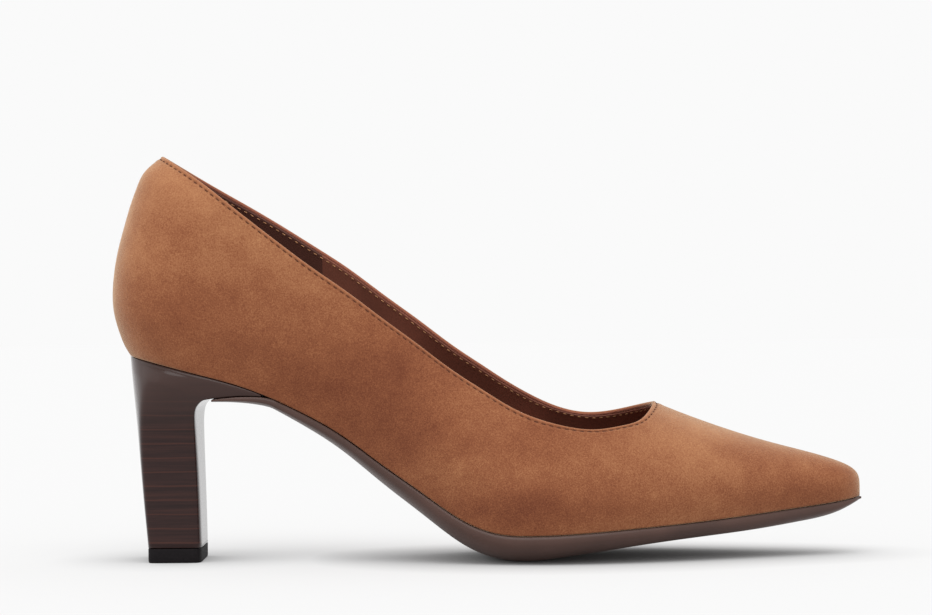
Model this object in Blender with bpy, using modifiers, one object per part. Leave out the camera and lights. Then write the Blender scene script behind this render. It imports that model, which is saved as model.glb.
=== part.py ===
"""A block heel pump for the right foot.

The toe points along +X, the inner side of the foot faces +Y, and the origin is the middle of the
heel's underside, on the floor. The feather edge is the line where the upper turns under the foot.
Heights in the tables below are measured up from it.
"""

import math

import bmesh
import bpy
import numpy as np

MM = 0.001
GAP = 0.3 * MM  # clearance between pieces that touch

# Lengths along the floor
SHOE_LENGTH = 243.8 * MM  # back of the heel seat to the toe tip
HEEL_SETBACK = 15.25 * MM  # middle of the heel's underside back to the back of the seat
VAMP_LENGTH = 69.3 * MM  # toe tip back to the throat

# Widths across the feather edge
SEAT_WIDTH = 51.0 * MM
WAIST_WIDTH = 41.0 * MM
BALL_WIDTH = 73.0 * MM
TOE_WIDTH = 24.0 * MM  # across the toe, 15 mm behind its tip
TOE_SHIFT = 5.0 * MM  # how far the toe tip lies towards the inner side

# Heights
HEEL_HEIGHT = 68.5 * MM  # floor to the feather edge at the back
SOLE_DEPTH = 9.6 * MM  # floor to the feather edge at the ball
TOE_SPRING = 9.7 * MM  # rise of the feather edge from the ball to the toe tip
BACK_HEIGHT = 69.2 * MM  # heel seat to the top of the back
INSTEP_HEIGHT = 39.8 * MM  # feather edge to the ridge at the throat
BELLY_HEIGHT = 20.0 * MM  # heel seat to the widest line of its side
SIDE_BULGE = 4.2 * MM  # how far the side stands out beyond the feather edge at the heel
BOTTOM_CROWN = 4.3 * MM  # how far the foot's underside bulges down at the ball

# Walls and layers
UPPER_WALL = 1.8 * MM
MARGIN = 7.0 * MM  # width of the upper turned in under the foot
INSOLE_DEPTH = 2.0 * MM
SOLE_EDGE = 1.5 * MM  # upright side of the sole above its curve
SOLE_LIP = 0.3 * MM  # how far the sole stands out beyond the feather edge

# Rounding in plan and in profile
SEAT_ROUND = 30.0 * MM
TOE_ROUND_PLAN = 9.0 * MM
TOE_ROUND_SIDE = 20.0 * MM

# Heel block
TIP_LENGTH = 17.8 * MM
TIP_WIDTH = 30.0 * MM
LIFT_DEPTH = 4.7 * MM
LIFT_CHAMFER = 0.3 * MM
WEDGE_REACH = 33.35 * MM  # middle of the heel's underside forward to where the front wedge runs out
WEDGE_SLOPE = 0.35  # depth that the front wedge gains for each unit back from there
WEDGE_EDGE = 0.5 * MM  # thickness of the wedge's front edge
BREAST_HOLLOW = 1.2 * MM  # how far the breast curves back between its foot and its top
FILLET_LENGTH = 4.8 * MM  # breast forward to the flat underside of the wedge

# How the meshes are divided
FAN_COLUMNS = 18
SIDE_COLUMNS = 11
SEAT_COLUMNS = 8
WALL_ROWS = (0.0, 0.05, 0.12, 0.22, 0.34, 0.47, 0.60, 0.72, 0.83, 0.92, 1.0)
MARGIN_ROWS = (1.0, 0.5)
SOLE_STATIONS = 34
TOP_POINTS = 9  # across the top of a sole's section
UNDER_POINTS = 13  # around its underside
HEEL_STEPS = (3, 6, 6)  # along half of the heel's outline: its front, its side and its back
FAN_CROWDING = 1.5  # more than 1 brings the ribs closer together at the toe
DENSE = 80
SLOPE_STEP = 0.1 * MM
CREASE_ANGLE = 40.0  # degrees, sharper edges than this stay crisp

# Forms: shares of the lengths that they belong to, and powers of their superellipses
SEAT_STRETCH = 1.4  # reach of the seat's own ribs, as a share of its rounding
UPRIGHT_END = 0.55  # along the shoe, up to where the ribs stand upright
FAN_FRONT = 0.87  # along the shoe, from where they lie straight towards the throat
TOE_BEND_START = 0.45  # along the shoe, from where the spine bends inwards
TOE_BEND_POWER = 1.5
TOE_PLAN_POWER = 2.2
TOE_SIDE_POWER = 6.0
SEAT_POWER = 2.15
SOLE_POWER = 2.3
TIP_POWER = 10.0
WEDGE_TUCK = 0.09  # how much less the wedge's underside spreads at its start than the seat above it
WEDGE_TUCK_POWER = 1.5
BELLY_SHARE = 0.25  # part of the way around a section that lies below its widest point
MARGIN_LIMIT = 0.55  # most of the way to the spine that the turned-in margin takes
EDGE_LIMIT = 0.4  # most of a thin sole's depth that its upright side takes

OUTER = -1
INNER = 1

SEAT_BACK = -HEEL_SETBACK
TOE_TIP = SEAT_BACK + SHOE_LENGTH
THROAT = TOE_TIP - VAMP_LENGTH
SEAT_FRONT = SEAT_BACK + SEAT_STRETCH * SEAT_ROUND
FAN_START = SEAT_BACK + UPRIGHT_END * SHOE_LENGTH
FAN_END = SEAT_BACK + FAN_FRONT * SHOE_LENGTH

# Along the shoe from the seat's back, then the share of the heel's rise and of the toe spring
FEATHER_LINE = (
    (0.000, 1.000, 0.00),
    (0.105, 0.889, 0.00),
    (0.159, 0.824, 0.00),
    (0.238, 0.679, 0.00),
    (0.291, 0.552, 0.00),
    (0.344, 0.391, 0.00),
    (0.398, 0.235, 0.00),
    (0.451, 0.087, 0.00),
    (0.504, 0.008, 0.00),
    (0.545, 0.000, 0.00),
    (0.583, 0.000, 0.03),
    (0.689, 0.000, 0.20),
    (0.799, 0.000, 0.41),
    (0.913, 0.000, 0.70),
    (0.958, 0.000, 0.83),
    (1.000, 0.000, 1.00),
)

# Along the shoe, then the outer and inner half widths of the feather edge
FEATHER_PLAN = (
    (0.000, 0.500 * SEAT_WIDTH, 0.500 * SEAT_WIDTH),
    (0.105, 0.500 * SEAT_WIDTH, 0.500 * SEAT_WIDTH),
    (0.210, 0.595 * WAIST_WIDTH, 0.525 * WAIST_WIDTH),
    (0.310, 0.580 * WAIST_WIDTH, 0.440 * WAIST_WIDTH),
    (0.410, 0.400 * BALL_WIDTH, 0.300 * BALL_WIDTH),
    (0.495, 0.485 * BALL_WIDTH, 0.385 * BALL_WIDTH),
    (0.565, 0.525 * BALL_WIDTH, 0.450 * BALL_WIDTH),
    (0.640, 0.510 * BALL_WIDTH, 0.480 * BALL_WIDTH),
    (0.713, 0.455 * BALL_WIDTH, 0.450 * BALL_WIDTH),
    (0.830, 0.312 * BALL_WIDTH, 0.312 * BALL_WIDTH),
    (0.939, 0.500 * TOE_WIDTH, 0.500 * TOE_WIDTH),
    (1.000, 0.280 * TOE_WIDTH, 0.280 * TOE_WIDTH),
)

# Along the shoe, shares of the side bulge outside and inside, share of the belly height, and
# the power of the arch from belly to ridge, where 2 is an ellipse and less is more like a tent
SECTIONS = (
    (0.00, 1.00, 1.00, 1.00, 2.00),
    (0.11, 1.00, 1.00, 1.00, 2.00),
    (0.31, 1.10, 1.60, 1.20, 1.90),
    (0.43, 0.85, 1.30, 0.95, 1.75),
    (0.56, 0.55, 0.75, 0.58, 1.72),
    (0.71, 0.50, 0.55, 0.46, 1.88),
    (0.83, 0.45, 0.45, 0.38, 1.98),
    (1.00, 0.35, 0.35, 0.24, 2.10),
)

# Along the shoe, then the height of the last's ridge, which the topline cuts away behind the throat
RIDGE = (
    (0.000, 1.215 * BACK_HEIGHT),
    (0.110, 1.220 * BACK_HEIGHT),
    (0.190, 1.215 * BACK_HEIGHT),
    (0.310, 1.157 * BACK_HEIGHT),
    (0.434, 1.015 * BACK_HEIGHT),
    (0.557, 1.495 * INSTEP_HEIGHT),
    (0.639, 1.241 * INSTEP_HEIGHT),
    (0.713, 1.000 * INSTEP_HEIGHT),
    (0.781, 0.802 * INSTEP_HEIGHT),
    (0.891, 0.519 * INSTEP_HEIGHT),
    (0.946, 0.391 * INSTEP_HEIGHT),
    (1.000, 0.236 * INSTEP_HEIGHT),
)

# Share of the back height, then how far the back edge lies forward of the seat's back, as a
# share of the back height
BACK_CURVE = (
    (0.00, 0.000),
    (0.03, -0.022),
    (0.08, -0.046),
    (0.19, -0.078),
    (0.28, -0.083),
    (0.37, -0.076),
    (0.49, -0.056),
    (0.61, -0.026),
    (0.73, 0.007),
    (0.82, 0.037),
    (0.90, 0.073),
    (1.00, 0.165),
)

# Along the shoe, then the share of the bottom crown
CROWN = (
    (0.00, 0.00),
    (0.22, 0.00),
    (0.34, 0.25),
    (0.45, 0.65),
    (0.56, 1.00),
    (0.70, 0.80),
    (0.85, 0.50),
    (1.00, 0.15),
)

# Along the shoe, then the depth of the sole below its own top edge, as a share of the sole depth
SOLE_PROFILE = (
    (0.120, 0.11),
    (0.160, 0.26),
    (0.200, 0.39),
    (0.260, 0.53),
    (0.370, 0.79),
    (0.425, 0.91),
    (0.475, 1.00),
    (0.510, 1.03),
    (0.550, 1.04),
    (0.590, 0.95),
    (0.640, 0.85),
    (0.693, 0.75),
    (0.779, 0.65),
    (0.861, 0.61),
    (0.915, 0.54),
    (0.970, 0.36),
    (1.000, 0.10),
)

BREAST_FRONT = TIP_LENGTH / 2
WEDGE_START = BREAST_FRONT - BREAST_HOLLOW + FILLET_LENGTH
WEDGE_FRONT = WEDGE_REACH - (WEDGE_EDGE + GAP) / WEDGE_SLOPE

# Share of the block's height at its back, share of the breast's height at its front, share of
# the breast's hollow, and share of the way from the tip's outline to the seat's
HEEL_LEVELS = (
    (0.00, 0.00, 0.00, 0.00),
    (0.25, 0.28, 0.25, 0.06),
    (0.50, 0.58, 0.65, 0.19),
    (0.69, 0.80, 1.00, 0.41),
    (0.79, 0.89, 1.00, 0.60),
)

# Turn of the fillet between breast and wedge in degrees, share of the block's height at its back,
# and share of the way from the tip's outline to the seat's
FILLET_LEVELS = (
    (30, 0.85, 0.73),
    (60, 0.90, 0.84),
    (90, 0.93, 1.00 - WEDGE_TUCK),
)

# Share of the way along the wedge's underside, and share of the block's height at its back
WEDGE_LEVELS = (
    (0.33, 0.955),
    (0.67, 0.975),
    (1.00, 0.990),
)


def spline(rows, column):
    """Natural cubic spline through one column of a table, straight beyond its first and last rows."""
    knots = np.array([row[0] for row in rows])
    values = np.array([row[column] for row in rows])
    steps = np.diff(knots)
    slopes = np.diff(values) / steps
    system = np.eye(len(knots))
    target = np.zeros(len(knots))
    for i in range(1, len(knots) - 1):
        system[i, i - 1:i + 2] = steps[i - 1], 2 * (steps[i - 1] + steps[i]), steps[i]
        target[i] = 6 * (slopes[i] - slopes[i - 1])
    bends = np.linalg.solve(system, target)
    first = slopes[0] - steps[0] * bends[1] / 6
    last = slopes[-1] + steps[-1] * bends[-2] / 6

    def value(at):
        inside = np.clip(at, knots[0], knots[-1])
        i = np.clip(np.searchsorted(knots, inside) - 1, 0, len(steps) - 1)
        left = inside - knots[i]
        right = knots[i + 1] - inside
        curve = (bends[i] * right ** 3 + bends[i + 1] * left ** 3) / (6 * steps[i])
        curve += (values[i] / steps[i] - bends[i] * steps[i] / 6) * right
        curve += (values[i + 1] / steps[i] - bends[i + 1] * steps[i] / 6) * left
        return curve + first * np.minimum(at - knots[0], 0) + last * np.maximum(at - knots[-1], 0)

    return value


heel_rise = spline(FEATHER_LINE, 1)
toe_rise = spline(FEATHER_LINE, 2)
plan_widths = {OUTER: spline(FEATHER_PLAN, 1), INNER: spline(FEATHER_PLAN, 2)}
bulges = {OUTER: spline(SECTIONS, 1), INNER: spline(SECTIONS, 2)}
belly = spline(SECTIONS, 3)
arch_power = spline(SECTIONS, 4)
ridge = spline(RIDGE, 1)
back_curve = spline(BACK_CURVE, 1)
crown_share = spline(CROWN, 1)
sole_profile = spline(SOLE_PROFILE, 1)


def along(x):
    return (x - SEAT_BACK) / SHOE_LENGTH


def rounding(distance, length, power):
    """Grows from 0 to 1 over a length, as a superellipse does from its end to its middle."""
    share = np.clip(distance / length, 0, 1)
    return (1 - (1 - share) ** power) ** (1 / power)


def toe_plan(x):
    return rounding(TOE_TIP - x, TOE_ROUND_PLAN, TOE_PLAN_POWER)


def toe_side(x):
    return rounding(TOE_TIP - x, TOE_ROUND_SIDE, TOE_SIDE_POWER)


def seat_plan(distance):
    return rounding(distance, SEAT_ROUND, SEAT_POWER)


def feather_height(x):
    """Height of the feather edge above the floor."""
    s = along(x)
    return SOLE_DEPTH + heel_rise(s) * (HEEL_HEIGHT - SOLE_DEPTH) + toe_rise(s) * TOE_SPRING


def centre_line(x):
    """Sideways place of the shoe's spine, which bends inwards towards the toe."""
    bend = np.clip((along(x) - TOE_BEND_START) / (1 - TOE_BEND_START), 0, 1)
    return TOE_SHIFT * bend ** TOE_BEND_POWER


def feather_width(x, side):
    """Half width of the feather edge, without the rounding of the seat's back."""
    return plan_widths[side](along(x)) * toe_plan(x)


def outline(x, side):
    """Half width of the feather edge, rounded at both ends."""
    return feather_width(x, side) * seat_plan(x - SEAT_BACK)


def belly_height(x):
    return BELLY_HEIGHT * belly(along(x)) * toe_side(x)


def belly_width(x, side):
    return feather_width(x, side) + SIDE_BULGE * bulges[side](along(x)) * toe_plan(x)


def ridge_height(x):
    return ridge(along(x)) * toe_side(x)


def bottom(x, y):
    """Height of the underside of the foot, a shallow arch across between the feather edges."""
    offset = y - centre_line(x)
    half = np.where(offset < 0, outline(x, OUTER), outline(x, INNER))
    share = np.clip(np.abs(offset) / np.maximum(half, GAP), 0, 1)
    return feather_height(x) - BOTTOM_CROWN * crown_share(along(x)) * toe_plan(x) * (1 - share ** 2)


def off_bottom(x, y, distance):
    """Height of a surface at a true distance above the underside of the foot, or below it if negative."""
    slope_x = (bottom(x + SLOPE_STEP, y) - bottom(x - SLOPE_STEP, y)) / (2 * SLOPE_STEP)
    slope_y = (bottom(x, y + SLOPE_STEP) - bottom(x, y - SLOPE_STEP)) / (2 * SLOPE_STEP)
    return bottom(x, y) + distance * np.sqrt(1 + slope_x ** 2 + slope_y ** 2)


# Share of the way from the back to the throat, then the height of the topline outside and inside
THROAT_HEIGHT = float(ridge_height(THROAT))
BACK_TOP = SEAT_BACK + BACK_CURVE[-1][1] * BACK_HEIGHT
TOPLINE = (
    (0.000, 1.000 * BACK_HEIGHT, 1.000 * BACK_HEIGHT),
    (0.087, 0.916 * BACK_HEIGHT, 0.926 * BACK_HEIGHT),
    (0.168, 0.820 * BACK_HEIGHT, 0.870 * BACK_HEIGHT),
    (0.249, 0.750 * BACK_HEIGHT, 0.834 * BACK_HEIGHT),
    (0.329, 0.708 * BACK_HEIGHT, 0.812 * BACK_HEIGHT),
    (0.410, 0.700 * BACK_HEIGHT, 0.807 * BACK_HEIGHT),
    (0.569, 0.683 * BACK_HEIGHT, 0.792 * BACK_HEIGHT),
    (0.650, 0.654 * BACK_HEIGHT, 0.760 * BACK_HEIGHT),
    (0.729, 1.003 * THROAT_HEIGHT, 1.168 * THROAT_HEIGHT),
    (0.809, 0.886 * THROAT_HEIGHT, 0.998 * THROAT_HEIGHT),
    (0.870, 0.838 * THROAT_HEIGHT, 0.932 * THROAT_HEIGHT),
    (0.932, 0.850 * THROAT_HEIGHT, 0.942 * THROAT_HEIGHT),
    (0.975, 0.903 * THROAT_HEIGHT, 0.976 * THROAT_HEIGHT),
    (1.000, 1.000 * THROAT_HEIGHT, 1.000 * THROAT_HEIGHT),
)
toplines = {OUTER: spline(TOPLINE, 1), INNER: spline(TOPLINE, 2)}


def topline_height(x, side):
    return toplines[side]((x - BACK_TOP) / (THROAT - BACK_TOP))


def half_width(x, height, side):
    """Half width of the last at a height above the feather edge, behind the throat."""
    low = belly_height(x)
    wide = belly_width(x, side)
    narrow = feather_width(x, side)
    power = arch_power(along(x))
    below = narrow + (wide - narrow) * (1 - (1 - np.clip(height / low, 0, 1)) ** 2)
    climb = np.clip((height - low) / (ridge_height(x) - low), 0, 1)
    return np.where(height < low, below, wide * (1 - climb ** power) ** (1 / power))


def last_point(x, turn, side):
    """Point of the upper's outer face, where turn runs from 0 at the feather edge to 1 at the ridge."""
    low = belly_height(x)
    wide = belly_width(x, side)
    narrow = feather_width(x, side)
    power = arch_power(along(x))
    lower = np.clip(turn / BELLY_SHARE, 0, 1)
    angle = np.clip((turn - BELLY_SHARE) / (1 - BELLY_SHARE), 0, 1) * math.pi / 2
    width = np.where(
        turn < BELLY_SHARE,
        narrow + (wide - narrow) * (1 - (1 - lower) ** 2),
        wide * np.abs(np.cos(angle)) ** (2 / power),
    )
    height = low * lower + (ridge_height(x) - low) * np.sin(angle) ** (2 / power)
    return np.stack([x, centre_line(x) + side * width, feather_height(x) + height], axis=-1)


def collar_turn(x, side):
    """Where the topline cuts a section, on the same scale as last_point."""
    low = belly_height(x)
    climb = np.clip((topline_height(x, side) - low) / (ridge_height(x) - low), 0, 1)
    angle = np.arcsin(climb ** (arch_power(along(x)) / 2))
    return BELLY_SHARE + (1 - BELLY_SHARE) * angle / (math.pi / 2)


def resample(points, shares):
    """Points at the given shares of a polyline's length."""
    lengths = np.concatenate([[0], np.cumsum(np.linalg.norm(np.diff(points, axis=0), axis=1))])
    at = np.asarray(shares) * lengths[-1]
    return np.stack([np.interp(at, lengths, points[:, k]) for k in range(points.shape[1])], axis=-1)


def fan_ribs(side, rows):
    """Ribs of one side, from the toe tip to the seat, each from the feather edge up to the topline.

    Radius and angle stand for the way back from the toe tip and the way up a section. In that
    half plane the ribs of the toe are straight and those of the quarter are arcs, so they fan
    out from the throat and stand upright further back.
    """
    dense = np.linspace(0, 1, DENSE)
    foot = TOE_TIP - (TOE_TIP - FAN_START) * dense ** 2
    even = np.linspace(0, 1, FAN_COLUMNS + 1)
    feather = resample(last_point(foot, 0 * foot, side), even ** FAN_CROWDING)[:, 0]
    mouth = THROAT - (THROAT - FAN_START) * dense ** 2
    collar = resample(last_point(mouth, collar_turn(mouth, side), side), even)[:, 0]
    quarter = np.linspace(FAN_START, SEAT_FRONT, SIDE_COLUMNS + 1)[1:]
    ribs = []
    for x_low, x_high in zip(np.concatenate([feather, quarter]), np.concatenate([collar, quarter])):
        turn_high = collar_turn(x_high, side) if x_high < THROAT - GAP else 1.0
        r_low = math.sqrt(max(TOE_TIP - x_low, 0))
        r_high = math.sqrt(TOE_TIP - x_high)
        angle = turn_high * math.pi / 2
        straight_a = (1 - dense) * r_low + dense * r_high * math.cos(angle)
        straight_b = dense * r_high * math.sin(angle)
        radius = (1 - dense) * r_low + dense * r_high
        blend = np.clip((FAN_END - x_low) / (FAN_END - FAN_START), 0, 1)
        blend = blend * blend * (3 - 2 * blend)
        a = straight_a + (radius * np.cos(dense * angle) - straight_a) * blend
        b = straight_b + (radius * np.sin(dense * angle) - straight_b) * blend
        turn = np.arctan2(b, np.maximum(a, 0)) / (math.pi / 2)
        ribs.append(resample(last_point(TOE_TIP - a * a - b * b, turn, side), rows))
    return ribs


def seat_ribs(side, rows, columns):
    """Ribs around one side of the seat, from its front to the middle of the back."""
    dense = np.linspace(0, 1, DENSE)
    back = SEAT_BACK + back_curve(dense) * BACK_HEIGHT
    ribs = []
    for column in range(1, columns + 1):
        forward = 1 - math.sin(column / columns * math.pi / 2)
        distance = (SEAT_FRONT - back) * forward
        x = back + distance
        height = dense * topline_height(x[-1], side)
        y = centre_line(x) + side * half_width(x, height, side) * seat_plan(distance)
        ribs.append(resample(np.stack([x, y, feather_height(x) + height], axis=-1), rows))
    return ribs


def upper_ribs(rows, columns):
    """All ribs of the upper in order: toe tip, outer side, back, inner side."""
    outer = fan_ribs(OUTER, rows) + seat_ribs(OUTER, rows, columns)
    inner = fan_ribs(INNER, rows) + seat_ribs(INNER, rows, columns)
    return outer + inner[-2:0:-1]


def turned_in(rib, share):
    """Point of the margin, a share of its width in from the rib's foot towards the spine."""
    foot = rib[0]
    spine_x = np.clip(foot[0], SEAT_BACK + SEAT_WIDTH / 2, TOE_TIP - 2 * MARGIN)
    spine = np.array([spine_x, centre_line(spine_x)])
    way = spine - foot[:2]
    reach = min(MARGIN / np.linalg.norm(way), MARGIN_LIMIT)
    x, y = foot[:2] + way * reach * share
    return np.array([x, y, bottom(x, y)])


def mesh_object(name, points, faces, material):
    mesh = bpy.data.meshes.new(name)
    mesh.from_pydata([tuple(point) for point in points], [], faces)
    work = bmesh.new()
    work.from_mesh(mesh)
    bmesh.ops.recalc_face_normals(work, faces=work.faces)
    work.to_mesh(mesh)
    work.free()
    mesh.shade_smooth()
    mesh.set_sharp_from_angle(angle=math.radians(CREASE_ANGLE))
    mesh.materials.append(material)
    part = bpy.data.objects.new(name, mesh)
    collection.objects.link(part)
    return part


def ring_faces(rings, size, closed):
    """Quads between neighbouring rings of the same size."""
    faces = []
    for ring in range(rings - 1):
        for i in range(size if closed else size - 1):
            j = (i + 1) % size
            low, high = ring * size, (ring + 1) * size
            faces.append((low + i, low + j, high + j, high + i))
    return faces


def cap_faces(start, size):
    """Quads across a ring, between points that mirror each other about its first and middle ones."""
    half = size // 2
    faces = [(start, start + 1, start + size - 1)]
    for i in range(1, half - 1):
        faces.append((start + i, start + i + 1, start + size - i - 1, start + size - i))
    faces.append((start + half - 1, start + half, start + half + 1))
    return faces


def loft(name, rings, material):
    """Closed solid through rings of the same size, capped at both ends."""
    size = len(rings[0])
    faces = ring_faces(len(rings), size, True)
    faces += cap_faces(0, size) + cap_faces((len(rings) - 1) * size, size)
    return mesh_object(name, np.concatenate(rings), faces, material)


def make_upper(material):
    ribs = upper_ribs(WALL_ROWS, SEAT_COLUMNS)
    count = len(ribs)
    points = []
    for share in MARGIN_ROWS:
        points += [turned_in(rib, share) for rib in ribs]
    for row in range(len(WALL_ROWS)):
        points += [rib[row] for rib in ribs]
    faces = ring_faces(len(MARGIN_ROWS) + len(WALL_ROWS), count, True)
    upper = mesh_object("upper", points, faces, material)
    solidify = upper.modifiers.new("Wall", "SOLIDIFY")
    solidify.thickness = UPPER_WALL
    solidify.offset = -1
    solidify.use_even_offset = True
    solidify.use_quality_normals = True
    return upper


def stations(start, end, crowding):
    """Places along the shoe, even with no crowding and closer together at both ends with more."""
    t = np.linspace(0, 1, SOLE_STATIONS)
    eased = (1 - np.cos(t * math.pi)) / 2
    return start + (end - start) * (t + (eased - t) * crowding)


def inset_outline(side, inset):
    """Half of the feather edge's outline moved in by an inset: places along the shoe and half widths."""
    turn = np.linspace(0, math.pi, 8 * DENSE)
    x = SEAT_BACK + SHOE_LENGTH * (1 - np.cos(turn)) / 2
    y = outline(x, side)
    run, rise = np.gradient(x), np.gradient(y)
    size = np.hypot(run, rise)
    return x + inset * rise / size, y - inset * run / size


def make_insole(material):
    """Board on top of the turned-in margin, a gap in from the upper's inner face."""
    inset = UPPER_WALL + 2 * GAP
    rest = UPPER_WALL + GAP
    outlines = {side: inset_outline(side, inset) for side in (OUTER, INNER)}
    rear = max(outlines[side][0][0] for side in outlines)
    front = min(outlines[side][0][-1] for side in outlines)
    across = np.linspace(1, -1, TOP_POINTS)
    rings = []
    for x in stations(rear + GAP, front - GAP, crowding=1.0):
        halves = {side: float(np.interp(x, *outlines[side])) for side in outlines}
        ys = [centre_line(x) + share * halves[INNER if share > 0 else OUTER] for share in across]
        ring = [(x, y, off_bottom(x, y, rest + INSOLE_DEPTH)) for y in ys]
        ring += [(x, y, off_bottom(x, y, rest)) for y in ys[::-1]]
        rings.append(np.array(ring))
    return loft("insole", rings, material)


def wedge_depth(x):
    """Depth of the heel's front wedge with its gaps, between the upper and the sole."""
    return np.maximum(WEDGE_REACH - x, 0) * WEDGE_SLOPE


def wedge_underside(x):
    return feather_height(x) - wedge_depth(x)


def wedge_spread(x):
    """Share of the way from the tip's outline to the seat's, along the wedge's underside."""
    back = np.clip(WEDGE_FRONT - x, 0, None) / (WEDGE_FRONT - WEDGE_START)
    return 1 - WEDGE_TUCK * back ** WEDGE_TUCK_POWER


def sole_width(x, side):
    """Half width of the sole's top edge, which follows the wedge in under the heel."""
    corner = tip_half(INNER, TIP_LENGTH, TIP_WIDTH)[HEEL_STEPS[0], 1]
    spread = wedge_spread(x)
    return corner + (outline(x, side) - corner) * spread + SOLE_LIP * (x > WEDGE_REACH)


def make_outsole(material):
    """Thin sole: level with the feather edge on top, its side curving in to a convex underside."""
    rear = WEDGE_START + 3 * GAP
    rings = []
    for x in stations(rear, TOE_TIP + SOLE_LIP, crowding=0.5):
        inside = min(x, TOE_TIP - GAP)
        halves = {side: sole_width(inside, side) for side in (OUTER, INNER)}
        drop = wedge_depth(x)
        depth = SOLE_DEPTH * sole_profile(along(x))
        edge = min(SOLE_EDGE, EDGE_LIMIT * depth)
        rim = off_bottom(inside, centre_line(x) + halves[INNER], -GAP) - drop
        ring = []
        for share in np.linspace(1, -1, TOP_POINTS):
            y = centre_line(x) + share * halves[INNER if share > 0 else OUTER]
            ring.append((x, y, off_bottom(inside, y, -GAP) - drop))
        for turn in np.linspace(math.pi, 0, UNDER_POINTS):
            out = math.cos(turn)
            lateral = abs(out) ** (2 / SOLE_POWER) * halves[INNER if out > 0 else OUTER]
            y = centre_line(x) + math.copysign(lateral, out)
            z = rim - edge - (depth - edge) * math.sin(turn) ** (2 / SOLE_POWER)
            ring.append((x, y, max(z, 0.0)))
        rings.append(np.array(ring))
    return loft("outsole", rings, material)


def half_loop(points, corners):
    """Resamples half an outline in stretches: its front, its side and its back."""
    ends = (0, *corners, len(points) - 1)
    loop = [points[:1]]
    for start, end, steps in zip(ends, ends[1:], HEEL_STEPS):
        loop.append(resample(points[start:end + 1], np.linspace(0, 1, steps + 1))[1:])
    return np.concatenate(loop)


def tip_half(side, size_x, size_y):
    """Half of the tip's outline, a rectangle with round corners, from its front to its back."""
    turn = np.linspace(0, math.pi, 2 * DENSE + 1)
    x = size_x / 2 * np.sign(np.cos(turn)) * np.abs(np.cos(turn)) ** (2 / TIP_POWER)
    y = side * size_y / 2 * np.clip(np.sin(turn), 0, 1) ** (2 / TIP_POWER)
    return half_loop(np.stack([x, y], axis=-1), (DENSE // 2, 3 * DENSE // 2))


def seat_half(side, front):
    """Half of the seat's outline, from the middle of the wedge's front edge to the back."""
    edge = np.linspace(0, 1, DENSE + 1)
    x = SEAT_BACK + (front - SEAT_BACK) * (1 - np.sin(edge * math.pi / 2))
    side_line = np.stack([x, centre_line(x) + side * outline(x, side)], axis=-1)
    line = np.concatenate([[[front, 0.0]], side_line])
    return half_loop(line, (1, 1 + DENSE // 2))


def make_heel(material):
    """Block heel, lofted from its tip up to the seat and out to the front wedge."""
    base = LIFT_DEPTH + GAP
    back_top = off_bottom(SEAT_BACK, centre_line(SEAT_BACK), -GAP)
    breast_top = wedge_underside(WEDGE_START)
    levels = []
    for back_share, front_share, hollow, spread in HEEL_LEVELS:
        levels.append((BREAST_FRONT - BREAST_HOLLOW * hollow, base + (breast_top - base) * front_share,
                       back_share, spread))
    fillet_x, fillet_z = levels[-1][:2]
    for turn, back_share, spread in FILLET_LEVELS:
        angle = math.radians(turn)
        x = fillet_x + (WEDGE_START - fillet_x) * (1 - math.cos(angle))
        z = fillet_z + (breast_top - fillet_z) * math.sin(angle)
        levels.append((x, z, back_share, spread))
    for step, back_share in WEDGE_LEVELS:
        x = WEDGE_START + (WEDGE_FRONT - WEDGE_START) * step
        levels.append((x, wedge_underside(x), back_share, wedge_spread(x)))
    levels.append((WEDGE_FRONT, off_bottom(WEDGE_FRONT, centre_line(WEDGE_FRONT), -GAP), 1.0, 1.0))

    tips = {side: tip_half(side, TIP_LENGTH, TIP_WIDTH) for side in (OUTER, INNER)}
    seats = {side: seat_half(side, WEDGE_FRONT) for side in (OUTER, INNER)}
    rings = []
    for x_front, z_front, back_share, spread in levels:
        x_back = -TIP_LENGTH / 2 + (SEAT_BACK + TIP_LENGTH / 2) * back_share
        z_back = base + (back_top - base) * back_share
        halves = []
        for side in (OUTER, INNER):
            tip, seat = tips[side], seats[side]
            tip_forward = (tip[:, 0] - tip[-1, 0]) / (tip[0, 0] - tip[-1, 0])
            seat_forward = (seat[:, 0] - seat[-1, 0]) / (seat[0, 0] - seat[-1, 0])
            forward = tip_forward + (seat_forward - tip_forward) * spread
            x = x_back + (x_front - x_back) * forward
            y = tip[:, 1] + (seat[:, 1] - tip[:, 1]) * spread
            z = z_back + (z_front - z_back) * forward
            if back_share == 1.0:
                z = off_bottom(x, y, -GAP)
            halves.append(np.stack([x, y, z], axis=-1))
        rings.append(np.concatenate([halves[0], halves[1][-2:0:-1]]))
    return loft("heel", rings, material)


def make_top_lift(material):
    """Wear piece under the heel, with a small chamfer around its underside."""
    rings = []
    for z, shrink in ((0.0, 2 * LIFT_CHAMFER), (LIFT_CHAMFER, 0.0), (LIFT_DEPTH, 0.0)):
        halves = [tip_half(side, TIP_LENGTH - shrink, TIP_WIDTH - shrink) for side in (OUTER, INNER)]
        flat = np.concatenate([halves[0], halves[1][-2:0:-1]])
        rings.append(np.column_stack([flat, np.full(len(flat), z)]))
    return loft("top_lift", rings, material)


def make_material(name, colour, roughness):
    material = bpy.data.materials.new(name)
    material.use_nodes = True
    surface = material.node_tree.nodes["Principled BSDF"]
    surface.inputs["Base Color"].default_value = (*colour, 1.0)
    surface.inputs["Roughness"].default_value = roughness
    surface.inputs["Metallic"].default_value = 0.0
    return material


for old in list(bpy.data.objects):
    bpy.data.objects.remove(old, do_unlink=True)

collection = bpy.data.collections.new("block_heel_pump")
bpy.context.scene.collection.children.link(collection)

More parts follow.
